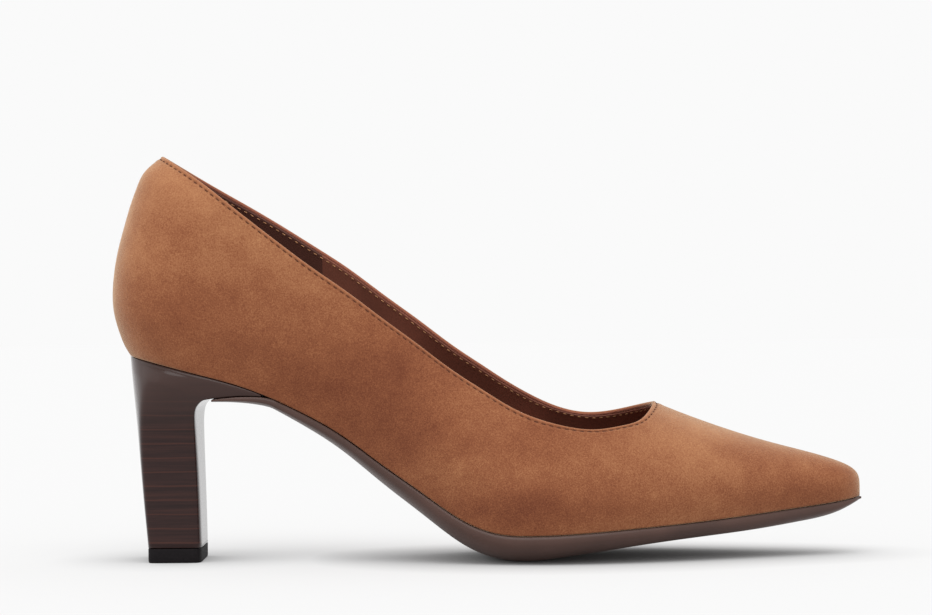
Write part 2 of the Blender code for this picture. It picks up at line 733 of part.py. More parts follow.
make_upper(make_material("tan_suede", (0.40, 0.17, 0.075), 0.95))
make_insole(make_material("brown_lining", (0.10, 0.045, 0.030), 0.60))
make_outsole(make_material("brown_sole", (0.075, 0.045, 0.037), 0.35))
make_heel(make_material("dark_stack", (0.040, 0.020, 0.016), 0.25))
make_top_lift(make_material("black_rubber", (0.012, 0.010, 0.011), 0.50))
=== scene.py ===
"""The looks of a block heel pump: suede upper, lining, sock, sole, stacked heel, stitches and studio."""

import math

import bmesh
import bpy
import numpy as np
from mathutils import Matrix, Vector


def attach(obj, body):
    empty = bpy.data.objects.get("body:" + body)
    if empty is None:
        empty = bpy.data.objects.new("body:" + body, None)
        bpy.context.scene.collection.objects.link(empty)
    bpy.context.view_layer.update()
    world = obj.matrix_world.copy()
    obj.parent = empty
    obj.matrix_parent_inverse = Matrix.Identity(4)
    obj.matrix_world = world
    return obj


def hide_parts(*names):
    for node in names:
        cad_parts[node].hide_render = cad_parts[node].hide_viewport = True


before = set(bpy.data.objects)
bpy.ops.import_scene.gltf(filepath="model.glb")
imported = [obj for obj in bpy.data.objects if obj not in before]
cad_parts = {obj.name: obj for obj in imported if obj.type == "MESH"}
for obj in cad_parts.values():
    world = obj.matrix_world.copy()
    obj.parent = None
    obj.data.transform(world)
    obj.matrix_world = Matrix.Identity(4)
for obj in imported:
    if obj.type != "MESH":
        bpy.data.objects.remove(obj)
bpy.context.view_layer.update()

MM = 0.001
GAP = 0.3 * MM  # clearance between pieces that touch

# Lengths along the floor
SHOE_LENGTH = 243.8 * MM  # back of the heel seat to the toe tip
HEEL_SETBACK = 15.25 * MM  # middle of the heel's underside back to the back of the seat
VAMP_LENGTH = 69.3 * MM  # toe tip back to the throat

# Widths across the feather edge
SEAT_WIDTH = 51.0 * MM
WAIST_WIDTH = 41.0 * MM
BALL_WIDTH = 73.0 * MM
TOE_WIDTH = 24.0 * MM  # across the toe, 15 mm behind its tip
TOE_SHIFT = 5.0 * MM  # how far the toe tip lies towards the inner side

# Heights
HEEL_HEIGHT = 68.5 * MM  # floor to the feather edge at the back
SOLE_DEPTH = 9.6 * MM  # floor to the feather edge at the ball
TOE_SPRING = 9.7 * MM  # rise of the feather edge from the ball to the toe tip
BACK_HEIGHT = 69.2 * MM  # heel seat to the top of the back
INSTEP_HEIGHT = 39.8 * MM  # feather edge to the ridge at the throat
BELLY_HEIGHT = 20.0 * MM  # heel seat to the widest line of its side
SIDE_BULGE = 4.2 * MM  # how far the side stands out beyond the feather edge at the heel
BOTTOM_CROWN = 4.3 * MM  # how far the foot's underside bulges down at the ball

# Walls and layers
UPPER_WALL = 1.8 * MM
MARGIN = 7.0 * MM  # width of the upper turned in under the foot
INSOLE_DEPTH = 2.0 * MM
SOLE_EDGE = 1.5 * MM  # upright side of the sole above its curve
SOLE_LIP = 0.3 * MM  # how far the sole stands out beyond the feather edge

# Rounding in plan and in profile
SEAT_ROUND = 30.0 * MM
TOE_ROUND_PLAN = 9.0 * MM
TOE_ROUND_SIDE = 20.0 * MM

# Heel block
TIP_LENGTH = 17.8 * MM
TIP_WIDTH = 30.0 * MM
LIFT_DEPTH = 4.7 * MM
WEDGE_REACH = 33.35 * MM  # middle of the heel's underside forward to where the front wedge runs out
WEDGE_SLOPE = 0.40  # slope that the wedge's depth comes to, back from there
WEDGE_EASE = 3.0 * MM  # softens the start of that slope
WEDGE_EDGE = 0.5 * MM  # thickness of the wedge's front edge
BREAST_HOLLOW = 1.2 * MM  # how far the breast curves back between its foot and its top
FILLET_LENGTH = 4.8 * MM  # breast forward to the flat underside of the wedge

# Finish of the edges and seams
SUEDE = 1.3 * MM  # thickness of the folded topline edge, suede on both faces
FOLD_DEPTH = 0.9 * MM  # how far the suede comes down inside the topline
STITCH_DEPTH = 1.45 * MM  # topline to the row of stitches, outside
STITCH_OFFSET = -0.16 * MM  # out from the wall's face
STITCH_LENGTH = 1.4 * MM
STITCH_PITCH = 2.55 * MM
LINING_STITCH_DEPTH = 1.9 * MM
LINING_STITCH_OFFSET = -UPPER_WALL - 0.05 * MM
LINING_STITCH_LENGTH = 1.3 * MM
THREAD_RADIUS = 0.2 * MM
SEAM_X = 48.0 * MM  # the lapped seam of the lining
LAP = 0.35 * MM  # how far its back piece stands in over the front one
LAP_BEVEL = 0.15 * MM
LINING_EDGE = 7.0 * MM  # stretch of the lining below the topline with fine rows
BORDER = 6.0 * MM  # stretch of the suede below the topline with fine rows
TOPLINE_MAP = "topline"
FOLD_PROUD = 0.14 * MM  # how far the folded edge swells outwards
FOLD_HEM = 1.0 * MM  # how far the suede runs on inside, behind the lining's edge
SOCK_TUCK = 0.25 * MM  # how far the sock reaches into the wall, so that no slit shows
SOCK_SOFT = 0.5 * MM  # drop of the sock's rounded edge
SOCK_SOFT_POWER = 24
SOCK_END = 0.05 * MM

# Rise of the suede below the topline, middle of its depth and its reach: the folded edge's puff,
# the groove that the stitches draw in, and the swell below them
RELIEF = (
    (0.16 * MM, 0.7 * MM, 0.45 * MM),
    (-0.24 * MM, STITCH_DEPTH, 0.32 * MM),
    (0.10 * MM, 2.6 * MM, 0.7 * MM),
)

# How far in under the foot each row of the suede lies, from the innermost out
UNDER_ROWS = (2.0 * MM, 1.0 * MM, 0.4 * MM)

# The lining's raised top edge: depth below the fold's lower end, and how far it stands in from the suede
LINING_LIP = (
    (0.05 * MM, -0.10 * MM),
    (0.00 * MM, 0.18 * MM),
    (0.08 * MM, 0.38 * MM),
    (0.25 * MM, 0.48 * MM),
)
LINING_LIP_END = 0.6 * MM

# Wear piece from the floor up: height, and how much smaller its outline is there
LIFT_LEVELS = (
    (0.0, 0.9 * MM),
    (0.08 * MM, 0.5 * MM),
    (0.35 * MM, 0.1 * MM),
    (0.7 * MM, 0.0),
    (LIFT_DEPTH - 0.4 * MM, 0.0),
    (LIFT_DEPTH - 0.1 * MM, 0.08 * MM),
    (LIFT_DEPTH, 0.3 * MM),
)

# How the meshes are divided
FAN_COLUMNS = 110
SIDE_COLUMNS = 60
SEAT_COLUMNS = 50
WALL_ROWS = np.linspace(0, 1, 240)
BORDER_ROWS = 25
COARSE_ROWS = 70  # below the border
SOLE_STATIONS = 200
SOLE_ACROSS = 17
SOLE_UNDER = 57
SOCK_ACROSS = 41
HEEL_STEPS = (14, 36, 36)  # along half of the heel's outline: its front, its side and its back
HEEL_RINGS = 90
FOLD_STEPS = 11
HEM_ROWS = 5
LINING_ROWS = 12
FAN_CROWDING = 1.5
DENSE = 240
SLOPE_STEP = 0.1 * MM

# Forms: shares of the lengths that they belong to, and powers of their superellipses
SEAT_STRETCH = 1.4  # reach of the seat's own ribs, as a share of its rounding
UPRIGHT_END = 0.55  # along the shoe, up to where the ribs stand upright
FAN_FRONT = 0.87  # along the shoe, from where they lie straight towards the throat
TOE_BEND_START = 0.45  # along the shoe, from where the spine bends inwards
TOE_BEND_POWER = 1.5
TOE_PLAN_POWER = 2.2
TOE_SIDE_POWER = 6.0
SEAT_POWER = 2.15
SOLE_POWER = 2.3
TIP_POWER = 10.0
WEDGE_TUCK = 0.09  # how much less the wedge's underside spreads at its start than the seat above it
WEDGE_TUCK_POWER = 1.5
BELLY_SHARE = 0.25  # part of the way around a section that lies below its widest point
EDGE_LIMIT = 0.4  # most of a thin sole's depth that its upright side takes

OUTER = -1
INNER = 1

SEAT_BACK = -HEEL_SETBACK
TOE_TIP = SEAT_BACK + SHOE_LENGTH
THROAT = TOE_TIP - VAMP_LENGTH
SEAT_FRONT = SEAT_BACK + SEAT_STRETCH * SEAT_ROUND
FAN_START = SEAT_BACK + UPRIGHT_END * SHOE_LENGTH
FAN_END = SEAT_BACK + FAN_FRONT * SHOE_LENGTH


def scaled(size, rows):
    """Rows of a table whose columns after the first are shares of a size."""
    return [(row[0], *(share * size for share in row[1:])) for row in rows]


# Along the shoe from the seat's back, then the share of the heel's rise and of the toe spring
FEATHER_LINE = (
    (0.000, 1.000, 0.00),
    (0.105, 0.889, 0.00),
    (0.159, 0.824, 0.00),
    (0.238, 0.679, 0.00),
    (0.291, 0.552, 0.00),
    (0.344, 0.391, 0.00),
    (0.398, 0.235, 0.00),
    (0.451, 0.087, 0.00),
    (0.504, 0.008, 0.00),
    (0.545, 0.000, 0.00),
    (0.583, 0.000, 0.03),
    (0.689, 0.000, 0.20),
    (0.799, 0.000, 0.41),
    (0.913, 0.000, 0.70),
    (0.958, 0.000, 0.83),
    (1.000, 0.000, 1.00),
)

# Along the shoe, then the outer and inner half widths of the feather edge
FEATHER_PLAN = (
    *scaled(SEAT_WIDTH, (
        (0.000, 0.500, 0.500),
        (0.105, 0.500, 0.500),
    )),
    *scaled(WAIST_WIDTH, (
        (0.210, 0.595, 0.525),
        (0.310, 0.580, 0.440),
    )),
    *scaled(BALL_WIDTH, (
        (0.410, 0.400, 0.300),
        (0.495, 0.485, 0.385),
        (0.565, 0.525, 0.450),
        (0.640, 0.510, 0.480),
        (0.713, 0.455, 0.450),
        (0.830, 0.312, 0.312),
    )),
    *scaled(TOE_WIDTH, (
        (0.939, 0.500, 0.500),
        (1.000, 0.280, 0.280),
    )),
)

# Along the shoe, shares of the side bulge outside and inside, share of the belly height, and
# the power of the arch from belly to ridge, where 2 is an ellipse and less is more like a tent
SECTIONS = (
    (0.00, 1.00, 1.00, 1.00, 2.00),
    (0.11, 1.00, 1.00, 1.00, 2.00),
    (0.31, 1.10, 1.60, 1.20, 1.90),
    (0.43, 0.85, 1.30, 0.95, 1.75),
    (0.56, 0.55, 0.75, 0.58, 1.72),
    (0.71, 0.50, 0.55, 0.46, 1.88),
    (0.83, 0.45, 0.45, 0.38, 1.98),
    (1.00, 0.35, 0.35, 0.24, 2.10),
)

# Along the shoe, then the height of the last's ridge, which the topline cuts away behind the throat
RIDGE = (
    *scaled(BACK_HEIGHT, (
        (0.000, 1.215),
        (0.110, 1.220),
        (0.190, 1.215),
        (0.310, 1.157),
        (0.434, 1.015),
    )),
    *scaled(INSTEP_HEIGHT, (
        (0.557, 1.495),
        (0.639, 1.241),
        (0.713, 1.000),
        (0.781, 0.802),
        (0.891, 0.519),
        (0.946, 0.391),
        (1.000, 0.236),
    )),
)

# Share of the back height, then how far the back edge lies forward of the seat's back, as a
# share of the back height
BACK_CURVE = (
    (0.00, 0.000),
    (0.03, -0.022),
    (0.08, -0.046),
    (0.19, -0.078),
    (0.28, -0.083),
    (0.37, -0.076),
    (0.49, -0.056),
    (0.61, -0.026),
    (0.73, 0.007),
    (0.82, 0.037),
    (0.90, 0.073),
    (1.00, 0.165),
)

# Along the shoe, then the share of the bottom crown
CROWN = (
    (0.00, 0.00),
    (0.22, 0.00),
    (0.34, 0.25),
    (0.45, 0.65),
    (0.56, 1.00),
    (0.70, 0.80),
    (0.85, 0.50),
    (1.00, 0.15),
)

# Along the shoe, then the depth of the sole below its own top edge, as a share of the sole depth
SOLE_PROFILE = (
    (0.120, 0.11),
    (0.160, 0.26),
    (0.200, 0.39),
    (0.260, 0.53),
    (0.370, 0.79),
    (0.425, 0.91),
    (0.475, 1.00),
    (0.510, 1.03),
    (0.550, 1.04),
    (0.590, 0.95),
    (0.640, 0.85),
    (0.693, 0.75),
    (0.779, 0.65),
    (0.861, 0.61),
    (0.915, 0.54),
    (0.970, 0.36),
    (1.000, 0.10),
)

BREAST_FRONT = TIP_LENGTH / 2
WEDGE_START = BREAST_FRONT - BREAST_HOLLOW + FILLET_LENGTH
WEDGE_RISE = (WEDGE_EDGE + GAP) / WEDGE_SLOPE
WEDGE_FRONT = WEDGE_REACH - WEDGE_RISE / 2 - math.sqrt(WEDGE_RISE ** 2 / 4 + WEDGE_RISE * WEDGE_EASE)

# Share of the block's height at its back, share of the breast's height at its front, share of
# the breast's hollow, and share of the way from the tip's outline to the seat's
HEEL_LEVELS = (
    (0.00, 0.00, 0.00, 0.00),
    (0.25, 0.28, 0.25, 0.06),
    (0.50, 0.58, 0.65, 0.19),
    (0.69, 0.80, 1.00, 0.41),
    (0.79, 0.89, 1.00, 0.60),
)

# Turn of the fillet between breast and wedge in degrees, share of the block's height at its back,
# and share of the way from the tip's outline to the seat's
FILLET_LEVELS = (
    (30, 0.85, 0.73),
    (60, 0.90, 0.84),
    (90, 0.93, 1.00 - WEDGE_TUCK),
)

# Share of the way along the wedge's underside, and share of the block's height at its back
WEDGE_LEVELS = (
    (0.33, 0.955),
    (0.67, 0.975),
    (1.00, 0.990),
)


def spline(rows, column):
    """Natural cubic spline through one column of a table, straight beyond its first and last rows."""
    knots = np.array([row[0] for row in rows], dtype=float)
    values = np.array([row[column] for row in rows], dtype=float)
    steps = np.diff(knots)
    slopes = np.diff(values) / steps
    system = np.eye(len(knots))
    target = np.zeros(len(knots))
    for i in range(1, len(knots) - 1):
        system[i, i - 1:i + 2] = steps[i - 1], 2 * (steps[i - 1] + steps[i]), steps[i]
        target[i] = 6 * (slopes[i] - slopes[i - 1])
    bends = np.linalg.solve(system, target)
    first = slopes[0] - steps[0] * bends[1] / 6
    last = slopes[-1] + steps[-1] * bends[-2] / 6

    def value(at):
        inside = np.clip(at, knots[0], knots[-1])
        i = np.clip(np.searchsorted(knots, inside) - 1, 0, len(steps) - 1)
        left = inside - knots[i]
        right = knots[i + 1] - inside
        curve = (bends[i] * right ** 3 + bends[i + 1] * left ** 3) / (6 * steps[i])
        curve += (values[i] / steps[i] - bends[i] * steps[i] / 6) * right
        curve += (values[i + 1] / steps[i] - bends[i + 1] * steps[i] / 6) * left
        return curve + first * np.minimum(at - knots[0], 0) + last * np.maximum(at - knots[-1], 0)

    return value


heel_rise = spline(FEATHER_LINE, 1)
toe_rise = spline(FEATHER_LINE, 2)
plan_widths = {OUTER: spline(FEATHER_PLAN, 1), INNER: spline(FEATHER_PLAN, 2)}
bulges = {OUTER: spline(SECTIONS, 1), INNER: spline(SECTIONS, 2)}
belly = spline(SECTIONS, 3)
arch_power = spline(SECTIONS, 4)
ridge = spline(RIDGE, 1)
back_curve = spline(BACK_CURVE, 1)
crown_share = spline(CROWN, 1)
sole_profile = spline(SOLE_PROFILE, 1)


def along(x):
    return (x - SEAT_BACK) / SHOE_LENGTH


def rounding(distance, length, power):
    """Grows from 0 to 1 over a length, as a superellipse does from its end to its middle."""
    share = np.clip(distance / length, 0, 1)
    return (1 - (1 - share) ** power) ** (1 / power)


def toe_plan(x):
    return rounding(TOE_TIP - x, TOE_ROUND_PLAN, TOE_PLAN_POWER)


def toe_side(x):
    return rounding(TOE_TIP - x, TOE_ROUND_SIDE, TOE_SIDE_POWER)


def seat_plan(distance):
    return rounding(distance, SEAT_ROUND, SEAT_POWER)


def feather_height(x):
    """Height of the feather edge above the floor."""
    s = along(x)
    return SOLE_DEPTH + heel_rise(s) * (HEEL_HEIGHT - SOLE_DEPTH) + toe_rise(s) * TOE_SPRING


def centre_line(x):
    """Sideways place of the shoe's spine, which bends inwards towards the toe."""
    bend = np.clip((along(x) - TOE_BEND_START) / (1 - TOE_BEND_START), 0, 1)
    return TOE_SHIFT * bend ** TOE_BEND_POWER


def feather_width(x, side):
    """Half width of the feather edge, without the rounding of the seat's back."""
    return plan_widths[side](along(x)) * toe_plan(x)


def outline(x, side):
    """Half width of the feather edge, rounded at both ends."""
    return feather_width(x, side) * seat_plan(x - SEAT_BACK)


def belly_height(x):
    return BELLY_HEIGHT * belly(along(x)) * toe_side(x)


def belly_width(x, side):
    return feather_width(x, side) + SIDE_BULGE * bulges[side](along(x)) * toe_plan(x)


def ridge_height(x):
    return ridge(along(x)) * toe_side(x)


def bottom(x, y):
    """Height of the underside of the foot, a shallow arch across between the feather edges."""
    offset = y - centre_line(x)
    half = np.where(offset < 0, outline(x, OUTER), outline(x, INNER))
    share = np.clip(np.abs(offset) / np.maximum(half, GAP), 0, 1)
    return feather_height(x) - BOTTOM_CROWN * crown_share(along(x)) * toe_plan(x) * (1 - share ** 2)


def off_bottom(x, y, distance):
    """Height of a surface at a true distance above the underside of the foot, or below if negative."""
    slope_x = (bottom(x + SLOPE_STEP, y) - bottom(x - SLOPE_STEP, y)) / (2 * SLOPE_STEP)
    slope_y = (bottom(x, y + SLOPE_STEP) - bottom(x, y - SLOPE_STEP)) / (2 * SLOPE_STEP)
    return bottom(x, y) + distance * np.sqrt(1 + slope_x ** 2 + slope_y ** 2)


# Share of the way from the back to the throat, then the height of the topline outside and inside
THROAT_HEIGHT = float(ridge_height(THROAT))
BACK_TOP = SEAT_BACK + BACK_CURVE[-1][1] * BACK_HEIGHT
TOPLINE = (
    *scaled(BACK_HEIGHT, (
        (0.000, 1.000, 1.000),
        (0.087, 0.916, 0.926),
        (0.168, 0.820, 0.870),
        (0.249, 0.750, 0.834),
        (0.329, 0.708, 0.812),
        (0.410, 0.700, 0.807),
        (0.569, 0.683, 0.792),
        (0.650, 0.654, 0.760),
    )),
    *scaled(THROAT_HEIGHT, (
        (0.729, 1.003, 1.168),
        (0.809, 0.886, 0.998),
        (0.870, 0.838, 0.932),
        (0.932, 0.850, 0.942),
        (0.975, 0.903, 0.976),
        (1.000, 1.000, 1.000),
    )),
)
toplines = {OUTER: spline(TOPLINE, 1), INNER: spline(TOPLINE, 2)}


def topline_height(x, side):
    return toplines[side]((x - BACK_TOP) / (THROAT - BACK_TOP))


def half_width(x, height, side):
    """Half width of the last at a height above the feather edge, behind the throat."""
    low = belly_height(x)
    wide = belly_width(x, side)
    narrow = feather_width(x, side)
    power = arch_power(along(x))
    below = narrow + (wide - narrow) * (1 - (1 - np.clip(height / low, 0, 1)) ** 2)
    climb = np.clip((height - low) / (ridge_height(x) - low), 0, 1)
    return np.where(height < low, below, wide * (1 - climb ** power) ** (1 / power))


def last_point(x, turn, side):
    """Point of the upper's outer face, where turn runs from 0 at the feather edge to 1 at the ridge."""
    low = belly_height(x)
    wide = belly_width(x, side)
    narrow = feather_width(x, side)
    power = arch_power(along(x))
    lower = np.clip(turn / BELLY_SHARE, 0, 1)
    angle = np.clip((turn - BELLY_SHARE) / (1 - BELLY_SHARE), 0, 1) * math.pi / 2
    width = np.where(
        turn < BELLY_SHARE,
        narrow + (wide - narrow) * (1 - (1 - lower) ** 2),
        wide * np.abs(np.cos(angle)) ** (2 / power),
    )
    height = low * lower + (ridge_height(x) - low) * np.sin(angle) ** (2 / power)
    return np.stack([x, centre_line(x) + side * width, feather_height(x) + height], axis=-1)


def collar_turn(x, side):
    """Where the topline cuts a section, on the same scale as last_point."""
    low = belly_height(x)
    climb = np.clip((topline_height(x, side) - low) / (ridge_height(x) - low), 0, 1)
    angle = np.arcsin(climb ** (arch_power(along(x)) / 2))
    return BELLY_SHARE + (1 - BELLY_SHARE) * angle / (math.pi / 2)


def lengths_of(points):
    return np.concatenate([[0], np.cumsum(np.linalg.norm(np.diff(points, axis=0), axis=1))])


def points_at(at, places, points):
    """Points of a line at given places on a scale along it."""
    return np.stack([np.interp(at, places, points[:, k]) for k in range(points.shape[1])], axis=-1)


def resample(points, shares):
    """Points at the given shares of a polyline's length."""
    lengths = lengths_of(points)
    return points_at(np.asarray(shares) * lengths[-1], lengths, points)


def fan_ribs(side, rows):
    """Ribs of one side, from the toe tip to the seat, each from the feather edge up to the topline.

    Radius and angle stand for the way back from the toe tip and the way up a section. In that
    half plane the ribs of the toe are straight and those of the quarter are arcs, so they fan
    out from the throat and stand upright further back.
    """
    dense = np.linspace(0, 1, DENSE)
    foot = TOE_TIP - (TOE_TIP - FAN_START) * dense ** 2
    even = np.linspace(0, 1, FAN_COLUMNS + 1)
    feather = resample(last_point(foot, 0 * foot, side), even ** FAN_CROWDING)[:, 0]
    mouth = THROAT - (THROAT - FAN_START) * dense ** 2
    collar = resample(last_point(mouth, collar_turn(mouth, side), side), even)[:, 0]
    quarter = np.linspace(FAN_START, SEAT_FRONT, SIDE_COLUMNS + 1)[1:]
    ribs = []
    for x_low, x_high in zip(np.concatenate([feather, quarter]), np.concatenate([collar, quarter])):
        turn_high = collar_turn(x_high, side) if x_high < THROAT - GAP else 1.0
        r_low = math.sqrt(max(TOE_TIP - x_low, 0))
        r_high = math.sqrt(TOE_TIP - x_high)
        angle = turn_high * math.pi / 2
        straight_a = (1 - dense) * r_low + dense * r_high * math.cos(angle)
        straight_b = dense * r_high * math.sin(angle)
        radius = (1 - dense) * r_low + dense * r_high
        blend = np.clip((FAN_END - x_low) / (FAN_END - FAN_START), 0, 1)
        blend = blend * blend * (3 - 2 * blend)
        a = straight_a + (radius * np.cos(dense * angle) - straight_a) * blend
        b = straight_b + (radius * np.sin(dense * angle) - straight_b) * blend
        turn = np.arctan2(b, np.maximum(a, 0)) / (math.pi / 2)
        ribs.append(resample(last_point(TOE_TIP - a * a - b * b, turn, side), rows))
    return ribs


def seat_ribs(side, rows, columns):
    """Ribs around one side of the seat, from its front to the middle of the back."""
    dense = np.linspace(0, 1, DENSE)
    back = SEAT_BACK + back_curve(dense) * BACK_HEIGHT
    ribs = []
    for column in range(1, columns + 1):
        forward = 1 - math.sin(column / columns * math.pi / 2)
        distance = (SEAT_FRONT - back) * forward
        x = back + distance
        height = dense * topline_height(x[-1], side)
        y = centre_line(x) + side * half_width(x, height, side) * seat_plan(distance)
        ribs.append(resample(np.stack([x, y, feather_height(x) + height], axis=-1), rows))
    return ribs


def upper_ribs(rows, columns):
    """All ribs of the upper in order: toe tip, outer side, back, inner side."""
    outer = fan_ribs(OUTER, rows) + seat_ribs(OUTER, rows, columns)
    inner = fan_ribs(INNER, rows) + seat_ribs(INNER, rows, columns)
    return outer + inner[-2:0:-1]


def unit(vectors):
    return vectors / np.maximum(np.linalg.norm(vectors, axis=-1, keepdims=True), 1e-12)


def grid_normals(grid):
    """Outward normals of a grid of rib points, columns first."""
    up = np.gradient(grid, axis=1)
    around = np.roll(grid, -1, axis=0) - np.roll(grid, 1, axis=0)
    return unit(np.cross(up, around))


def mesh_object(name, points, faces, material):
    mesh = bpy.data.meshes.new(name)
    mesh.from_pydata([tuple(point) for point in points], [], faces)
    work = bmesh.new()
    work.from_mesh(mesh)
    bmesh.ops.recalc_face_normals(work, faces=work.faces)
    work.to_mesh(mesh)
    work.free()
    mesh.shade_smooth()
    mesh.materials.append(material)
    piece = bpy.data.objects.new(name, mesh)
    bpy.context.scene.collection.objects.link(piece)
    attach(piece, "root")
    return piece


def ring_faces(rings, size, closed):
    faces = []
    for ring in range(rings - 1):
        for i in range(size if closed else size - 1):
            j = (i + 1) % size
            low, high = ring * size, (ring + 1) * size
            faces.append((low + i, low + j, high + j, high + i))
    return faces


def cap_faces(start, size):
    half = size // 2
    faces = [(start, start + 1, start + size - 1)]
    for i in range(1, half - 1):
        faces.append((start + i, start + i + 1, start + size - i - 1, start + size - i))
    faces.append((start + half - 1, start + half, start + half + 1))
    return faces


def loft(name, rings, material):
    """Closed solid through rings of the same size, capped at both ends."""
    size = len(rings[0])
    faces = ring_faces(len(rings), size, True)
    faces += cap_faces(0, size) + cap_faces((len(rings) - 1) * size, size)
    return mesh_object(name, np.concatenate(rings), faces, material)


def shell(name, grid, material):
    """Open strip around the shoe through a grid of points, columns first."""
    columns, rows = grid.shape[:2]
    points = grid.transpose(1, 0, 2).reshape(-1, 3)
    return mesh_object(name, points, ring_faces(rows, columns, True), material)


class Wall:
    """The upper's outer face as a grid, with normals, and its ribs measured down from the topline."""

    def __init__(self):
        fine = np.linspace(BORDER, 0, BORDER_ROWS)
        columns = []
        for rib in upper_ribs(WALL_ROWS, SEAT_COLUMNS):
            lengths = lengths_of(rib)
            coarse = np.linspace(0, lengths[-1] - BORDER, COARSE_ROWS)[:-1]
            rows = np.concatenate([coarse, lengths[-1] - fine])
            columns.append(points_at(rows, lengths, rib))
        self.grid = np.array(columns)
        self.normals = grid_normals(self.grid)
        self.depths = lengths_down(self.grid)
        ring = self.ring(STITCH_DEPTH, 0.0)
        run = lengths_of(np.concatenate([ring, ring[:1]]))
        self.stitches = round(run[-1] / STITCH_PITCH)
        self.turns = run / run[-1] * self.stitches

    def ring(self, depth, offset):
        """Ring of points at a depth below the topline and an offset out from the outer face."""
        ring = []
        for points, normals, depths in zip(self.grid, self.normals, self.depths):
            normal = points_at(depth, depths[::-1], normals[::-1])
            ring.append(points_at(depth, depths[::-1], points[::-1]) + unit(normal) * offset)
        return np.array(ring)


def lengths_down(grid):
    steps = np.linalg.norm(np.diff(grid, axis=1), axis=2)
    down = np.cumsum(steps[:, ::-1], axis=1)[:, ::-1]
    return np.concatenate([down, np.zeros((len(grid), 1))], axis=1)


def bell(value, middle, width):
    return np.exp(-((value - middle) / width) ** 2)


def suede_relief(depth):
    return sum(rise * bell(depth, middle, reach) for rise, middle, reach in RELIEF)


def make_suede(wall, material):
    """Suede skin, from under the feather edge up the outside, over the folded edge and down inside."""
    radius = SUEDE / 2
    keep = wall.depths[0] > radius
    outside = (wall.grid + wall.normals * suede_relief(wall.depths)[..., None])[:, keep]
    base = wall.ring(radius, 0.0)
    normal = unit(wall.ring(radius, MM) - base)
    top = unit(wall.grid[:, -1] - base)
    angles = np.linspace(0, math.pi, FOLD_STEPS)
    rounds = []
    for turn in angles:
        proud = radius + FOLD_PROUD * math.cos(turn / 2)
        way = math.cos(turn) * normal + math.sin(turn) * top
        rounds.append(base - normal * radius + proud * way)
    down = np.linspace(radius, FOLD_DEPTH + FOLD_HEM, HEM_ROWS + 1)[1:]
    inside = [wall.ring(depth, -SUEDE) for depth in down]
    under = turned_under(outside[:, 0])
    inner = np.stack(rounds + inside, axis=1)
    grid = np.concatenate([under, outside, inner], axis=1)
    suede = shell("suede_upper", grid, material)
    depths = np.concatenate([
        np.repeat(wall.depths[:, :1], under.shape[1], axis=1),
        wall.depths[:, keep],
        np.tile(radius * np.cos(angles), (len(grid), 1)),
        np.tile(-down, (len(grid), 1)),
    ], axis=1)
    mark_topline(suede, wall.turns, depths / MM)
    return suede


def mark_topline(piece, turns, depths):
    """Stores each point's place along the topline, in stitches, and its depth below it, in mm."""
    mesh = piece.data
    count = len(turns) - 1
    corners = np.empty(len(mesh.loops), dtype=np.int32)
    mesh.loops.foreach_get("vertex_index", corners)
    corners = corners.reshape(-1, 4)
    columns = corners % count
    closing = (columns.min(axis=1) == 0) & (columns.max(axis=1) == count - 1)
    columns[closing[:, None] & (columns == 0)] = count
    places = np.stack([turns[columns], depths.T.ravel()[corners]], axis=-1)
    layer = mesh.uv_layers.new(name=TOPLINE_MAP)
    layer.data.foreach_set("uv", places.ravel().astype(np.float32))


def turned_under(feet):
    """Rows that carry the suede round the feather edge and in under the foot."""
    rows = []
    for reach in UNDER_ROWS:
        ring = []
        for foot in feet:
            spine_x = np.clip(foot[0], SEAT_BACK + SEAT_WIDTH / 2, TOE_TIP - 2 * MARGIN)
            way = np.array([spine_x, centre_line(spine_x)]) - foot[:2]
            x, y = foot[:2] + way / np.linalg.norm(way) * reach
            ring.append((x, y, bottom(x, y)))
        rows.append(ring)
    return np.array(rows).transpose(1, 0, 2)


def make_lining(wall, material):
    """Lining inside the wall, with a raised edge over the suede and a lapped seam at the quarters."""
    rows = [wall.ring(FOLD_DEPTH + low, -SUEDE - stand) for low, stand in LINING_LIP]
    fine = np.linspace(FOLD_DEPTH + LINING_LIP_END, LINING_EDGE, LINING_ROWS)
    rows += [wall.ring(depth, -UPPER_WALL) for depth in fine]
    keep = wall.depths.min(axis=0) > LINING_EDGE + MM / 2
    lower = (wall.grid - wall.normals * UPPER_WALL)[:, keep][:, ::-1]
    grid = np.concatenate([np.stack(rows, axis=1), lower[:, :-2]], axis=1)
    return shell("lining", lapped(grid), material)


def lapped(points):
    """Moves points of the lining in where its back piece lies over the front one."""
    lap = LAP / (1 + np.exp((points[..., 0] - SEAM_X) / LAP_BEVEL))
    centre = np.stack([points[..., 0], centre_line(points[..., 0]), points[..., 2]], axis=-1)
    return points + unit(centre - points) * lap[..., None]


# Share of the length along half a stitch from its middle, and its girth there
STITCH_HALF = (
    (0.20, 1.00),
    (0.42, 0.70),
    (0.50, 0.15),
)
STITCH_PROFILE = [(-share, girth) for share, girth in STITCH_HALF[::-1]] + list(STITCH_HALF)
STITCH_SIDES = 8
STITCH_FLATTENED = 0.8


